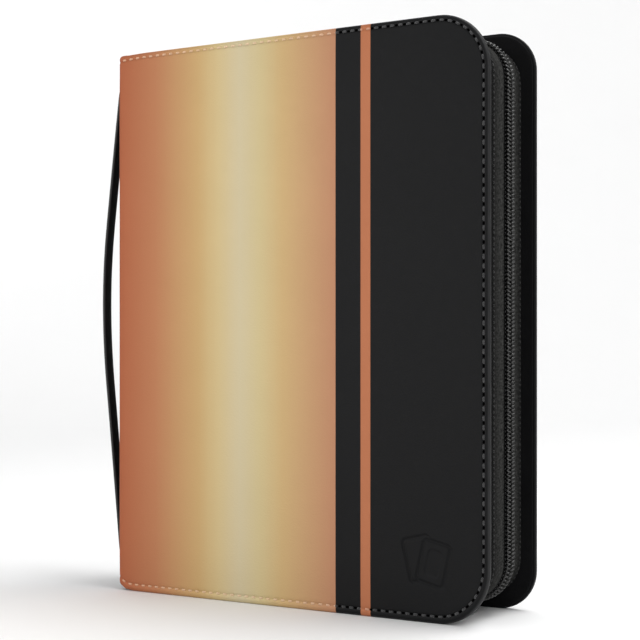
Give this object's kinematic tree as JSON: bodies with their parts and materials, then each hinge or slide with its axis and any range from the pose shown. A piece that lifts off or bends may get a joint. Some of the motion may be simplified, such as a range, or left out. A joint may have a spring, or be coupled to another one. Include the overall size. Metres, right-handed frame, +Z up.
{
  "type": "zip trading card binder",
  "caption": "Zip-round ring binder for trading cards: hinged padded covers with a gradient foil front, carry strap, coil zip, sprung ring mechanism and turning pocket pages.",
  "frame": {"origin": "middle of the bounding box of the closed binder, on the plane of its lower edge", "axes": "+X from the spine to the fore edge, +Y from the front cover to the back cover, +Z up along the spine, as the closed binder stands in the picture"},
  "size_m": [0.2824, 0.07, 0.345],
  "materials": {
    "black_leatherette": "smooth fine-grained black leatherette",
    "strap_leather": "smooth black bonded strap, lightly glossy",
    "gold_foil": "leatherette printed with a satin gradient, copper through pale gold to tan",
    "copper_foil": "thin satin copper stripe",
    "greyboard": "pressed greyboard",
    "lining_cloth": "close black plain-weave lining",
    "gusset_cloth": "thin black leatherette gusset",
    "zip_twill": "dark grey twill zip tape",
    "zip_nylon": "black nylon coil",
    "black_metal": "black enamelled die-cast",
    "nickel_steel": "bright nickel plate",
    "pocket_film": "side-loading card pockets, clear film on a black backing",
    "strip_film": "flexible black binding strip"
  },
  "bodies": {
    "back_cover": {"back_cover_skin": "black_leatherette", "back_cover_board": "greyboard", "back_cover_lining": "lining_cloth", "back_zip_tape": "zip_twill", "back_zip_coil": "zip_nylon", "back_zip_stops": "black_metal", "ring_mechanism_cover": "nickel_steel", "lever_pin_lower": "nickel_steel", "lever_pin_upper": "nickel_steel", "mechanism_rivet_lower": "nickel_steel", "mechanism_rivet_upper": "nickel_steel", "page_07_pockets": "pocket_film", "page_08_pockets": "pocket_film", "page_09_pockets": "pocket_film", "page_10_pockets": "pocket_film", "page_11_pockets": "pocket_film", "page_12_pockets": "pocket_film", "resting_page_strips": "strip_film"},
    "spine": {"spine_skin": "black_leatherette", "spine_board": "greyboard", "spine_lining": "lining_cloth", "front_fold": "black_leatherette", "back_fold": "black_leatherette", "spine_web_lower": "gusset_cloth", "spine_web_upper": "gusset_cloth", "carry_strap": "strap_leather"},
    "front_cover": {"front_cover_skin": "black_leatherette", "front_cover_board": "greyboard", "front_cover_lining": "lining_cloth", "foil_panel": "gold_foil", "foil_stripe": "copper_foil", "front_gusset": "gusset_cloth", "front_zip_tape": "zip_twill", "front_zip_coil": "zip_nylon", "front_zip_stops": "black_metal"},
    "zip_slider": {"zip_slider": "black_metal"},
    "zip_pull": {"zip_pull": "black_metal"},
    "rings_spine_side": {"blade_spine_side": "nickel_steel", "ring_lower_spine_side": "nickel_steel", "ring_middle_spine_side": "nickel_steel", "ring_upper_spine_side": "nickel_steel"},
    "rings_page_side": {"blade_page_side": "nickel_steel", "ring_lower_page_side": "nickel_steel", "ring_middle_page_side": "nickel_steel", "ring_upper_page_side": "nickel_steel"},
    "ring_lever_upper": {"ring_lever_upper": "nickel_steel"},
    "ring_lever_lower": {"ring_lever_lower": "nickel_steel"},
    "page_01": {"page_01_pockets": "pocket_film", "page_01_strip": "strip_film"},
    "page_02": {"page_02_pockets": "pocket_film", "page_02_strip": "strip_film"},
    "page_03": {"page_03_pockets": "pocket_film", "page_03_strip": "strip_film"},
    "page_04": {"page_04_pockets": "pocket_film", "page_04_strip": "strip_film"},
    "page_05": {"page_05_pockets": "pocket_film", "page_05_strip": "strip_film"},
    "page_06": {"page_06_pockets": "pocket_film", "page_06_strip": "strip_film"}
  },
  "joints": [
    {"name": "spine_hinge", "type": "hinge", "parent": "back_cover", "child": "spine", "pos_m": [-0.1183, 0.0325, 0.1725], "axis": [0, 0, -1], "range_deg": [0, 90]},
    {"name": "cover_hinge", "type": "hinge", "parent": "spine", "child": "front_cover", "pos_m": [-0.1183, -0.0325, 0.1725], "axis": [0, 0, -1], "range_deg": [0, 90]},
    {"name": "page_01_turn", "type": "hinge", "parent": "back_cover", "child": "page_01", "pos_m": [-0.0983, 0.01195, 0.1725], "axis": [0, 0, -1], "range_deg": [0, 180], "deforming": ["page_01_strip"]},
    {"name": "page_02_turn", "type": "hinge", "parent": "back_cover", "child": "page_02", "pos_m": [-0.0983, 0.01195, 0.1725], "axis": [0, 0, -1], "range_deg": [0, 180], "deforming": ["page_02_strip"]},
    {"name": "page_03_turn", "type": "hinge", "parent": "back_cover", "child": "page_03", "pos_m": [-0.0983, 0.01195, 0.1725], "axis": [0, 0, -1], "range_deg": [0, 180], "deforming": ["page_03_strip"]},
    {"name": "page_04_turn", "type": "hinge", "parent": "back_cover", "child": "page_04", "pos_m": [-0.0983, 0.01195, 0.1725], "axis": [0, 0, -1], "range_deg": [0, 180], "deforming": ["page_04_strip"]},
    {"name": "page_05_turn", "type": "hinge", "parent": "back_cover", "child": "page_05", "pos_m": [-0.0983, 0.01195, 0.1725], "axis": [0, 0, -1], "range_deg": [0, 180], "deforming": ["page_05_strip"]},
    {"name": "page_06_turn", "type": "hinge", "parent": "back_cover", "child": "page_06", "pos_m": [-0.0983, 0.01195, 0.1725], "axis": [0, 0, -1], "range_deg": [0, 180], "deforming": ["page_06_strip"]},
    {"name": "zip_travel", "type": "slide", "parent": "back_cover", "child": "zip_slider", "axis": [1, 0, 0], "range_m": [0, 0.19]},
    {"name": "pull_swing", "type": "hinge", "parent": "zip_slider", "child": "zip_pull", "pos_m": [-0.0988, 0.011, 0.34195], "axis": [0, -1, 0], "range_deg": [0, 165]},
    {"name": "upper_lever_press", "type": "hinge", "parent": "back_cover", "child": "ring_lever_upper", "pos_m": [-0.0983, 0.0271, 0.3085], "axis": [-1, 0, 0], "range_deg": [0, 20]},
    {"name": "lower_lever_press", "type": "hinge", "parent": "back_cover", "child": "ring_lever_lower", "pos_m": [-0.0983, 0.0271, 0.0365], "axis": [1, 0, 0], "range_deg": [0, 20]},
    {"name": "spine_side_rings_open", "type": "hinge", "parent": "back_cover", "child": "rings_spine_side", "pos_m": [-0.1092, 0.0282, 0.1725], "axis": [0, 0, -1], "range_deg": [0, 8], "deforming": ["resting_page_strips"]},
    {"name": "page_side_rings_open", "type": "hinge", "parent": "back_cover", "child": "rings_page_side", "pos_m": [-0.0874, 0.0282, 0.1725], "axis": [0, 0, 1], "range_deg": [0, 8]}
  ],
  "couplings": [
    {"joint": "cover_hinge", "follows": "spine_hinge", "ratio": 1},
    {"joint": "page_01_turn", "follows": "spine_hinge", "ratio": 2},
    {"joint": "page_02_turn", "follows": "spine_hinge", "ratio": 1.988},
    {"joint": "page_03_turn", "follows": "spine_hinge", "ratio": 1.976},
    {"joint": "page_04_turn", "follows": "spine_hinge", "ratio": 1.964},
    {"joint": "page_05_turn", "follows": "spine_hinge", "ratio": 1.952},
    {"joint": "page_06_turn", "follows": "spine_hinge", "ratio": 1.94},
    {"joint": "lower_lever_press", "follows": "upper_lever_press", "ratio": 1},
    {"joint": "spine_side_rings_open", "follows": "upper_lever_press", "ratio": 0.4},
    {"joint": "page_side_rings_open", "follows": "upper_lever_press", "ratio": 0.4}
  ]
}
